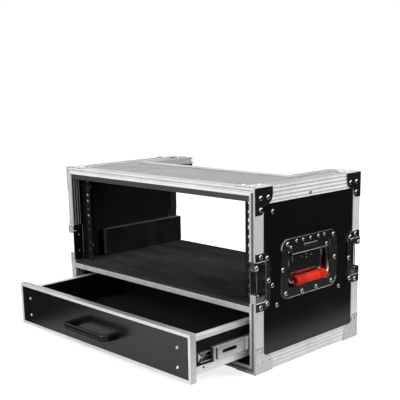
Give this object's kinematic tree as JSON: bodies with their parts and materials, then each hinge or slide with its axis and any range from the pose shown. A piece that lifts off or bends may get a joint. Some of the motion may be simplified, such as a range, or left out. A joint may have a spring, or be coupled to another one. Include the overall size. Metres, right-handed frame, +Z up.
{
  "type": "road case with drawer",
  "caption": "Edged plywood road case with a rack bay over a shallow drawer on ball slides, recessed side handles and latch plates, cable cut-out in the top; lids off.",
  "frame": {"origin": "middle of the case's bare underside, on the bottom panel's exposed face; the drawer, which stands open, isn't counted in the middle", "axes": "+X to the case's right as seen from the front, along its width; +Y from the open front with the drawer to the open back; +Z up"},
  "size_m": [0.5562, 0.4803, 0.3324],
  "materials": {
    "laminate": "black laminate on plywood, semi-gloss",
    "edging": "satin extruded, ribbed",
    "chrome": "bright plated sheet steel",
    "rail": "black powder coat",
    "slide": "zinc plated, smooth",
    "foam": "charcoal closed-cell foam",
    "grip": "red moulded sleeve, satin",
    "pull": "black, satin"
  },
  "bodies": {
    "case": {"side_panel_right": "laminate", "side_panel_left": "laminate", "bottom_panel": "laminate", "top_panel": "laminate", "top_edging_right": "edging", "top_edging_left": "edging", "bottom_edging_right": "edging", "bottom_edging_left": "edging", "front_rim_right": "edging", "front_rim_left": "edging", "front_rim_top": "edging", "front_rim_bottom": "edging", "rear_rim_right": "edging", "rear_rim_left": "edging", "rear_rim_bottom": "edging", "rear_rim_top": "edging", "corner_front_top_right": "chrome", "corner_front_top_left": "chrome", "corner_front_bottom_right": "chrome", "corner_front_bottom_left": "chrome", "corner_rear_top_right": "chrome", "corner_rear_top_left": "chrome", "corner_rear_bottom_right": "chrome", "corner_rear_bottom_left": "chrome", "latch_plate_front_right": "chrome", "latch_plate_front_left": "chrome", "latch_plate_rear_right": "chrome", "latch_plate_rear_left": "chrome", "handle_dish_right": "chrome", "handle_dish_left": "chrome", "shelf_board": "laminate", "shelf_strip": "edging", "shelf_lining": "foam", "top_board": "laminate", "rest_block_right": "foam", "rest_block_left": "foam", "rack_rail_right": "rail", "rack_rail_left": "rail", "bay_back": "laminate", "slide_outer_right": "slide", "slide_outer_left": "slide"},
    "slide_right": {"slide_middle_right": "slide"},
    "slide_left": {"slide_middle_left": "slide"},
    "drawer": {"slide_inner_right": "slide", "slide_inner_left": "slide", "drawer_front_board": "laminate", "drawer_front_trim": "edging", "drawer_side_right": "laminate", "drawer_side_left": "laminate", "drawer_side_cap_right": "edging", "drawer_side_cap_left": "edging", "drawer_side_foot_right": "edging", "drawer_side_foot_left": "edging", "drawer_back": "laminate", "drawer_bottom": "laminate", "drawer_pull": "pull"},
    "handle_right": {"handle_bail_right": "chrome", "handle_grip_right": "grip"},
    "handle_left": {"handle_bail_left": "chrome", "handle_grip_left": "grip"}
  },
  "joints": [
    {"name": "slide_stage_left", "type": "slide", "parent": "case", "child": "slide_left", "axis": [0, -1, 0], "range_m": [-0.11, 0.015]},
    {"name": "slide_stage_right", "type": "slide", "parent": "case", "child": "slide_right", "axis": [0, -1, 0], "range_m": [-0.11, 0.015]},
    {"name": "drawer_slide", "type": "slide", "parent": "slide_left", "child": "drawer", "axis": [0, -1, 0], "range_m": [-0.0315, 0.0935]},
    {"name": "handle_right_swing", "type": "hinge", "parent": "case", "child": "handle_right", "pos_m": [0.2633, -0.002, 0.20455], "axis": [0, -1, 0], "range_deg": [0, 90], "stiffness_Nm_per_rad": 0.08, "springref_deg": -20.05},
    {"name": "handle_left_swing", "type": "hinge", "parent": "case", "child": "handle_left", "pos_m": [-0.2633, -0.002, 0.20455], "axis": [0, 1, 0], "range_deg": [0, 90], "stiffness_Nm_per_rad": 0.08, "springref_deg": -20.05}
  ],
  "couplings": [
    {"joint": "slide_stage_right", "follows": "slide_stage_left", "ratio": 1}
  ]
}
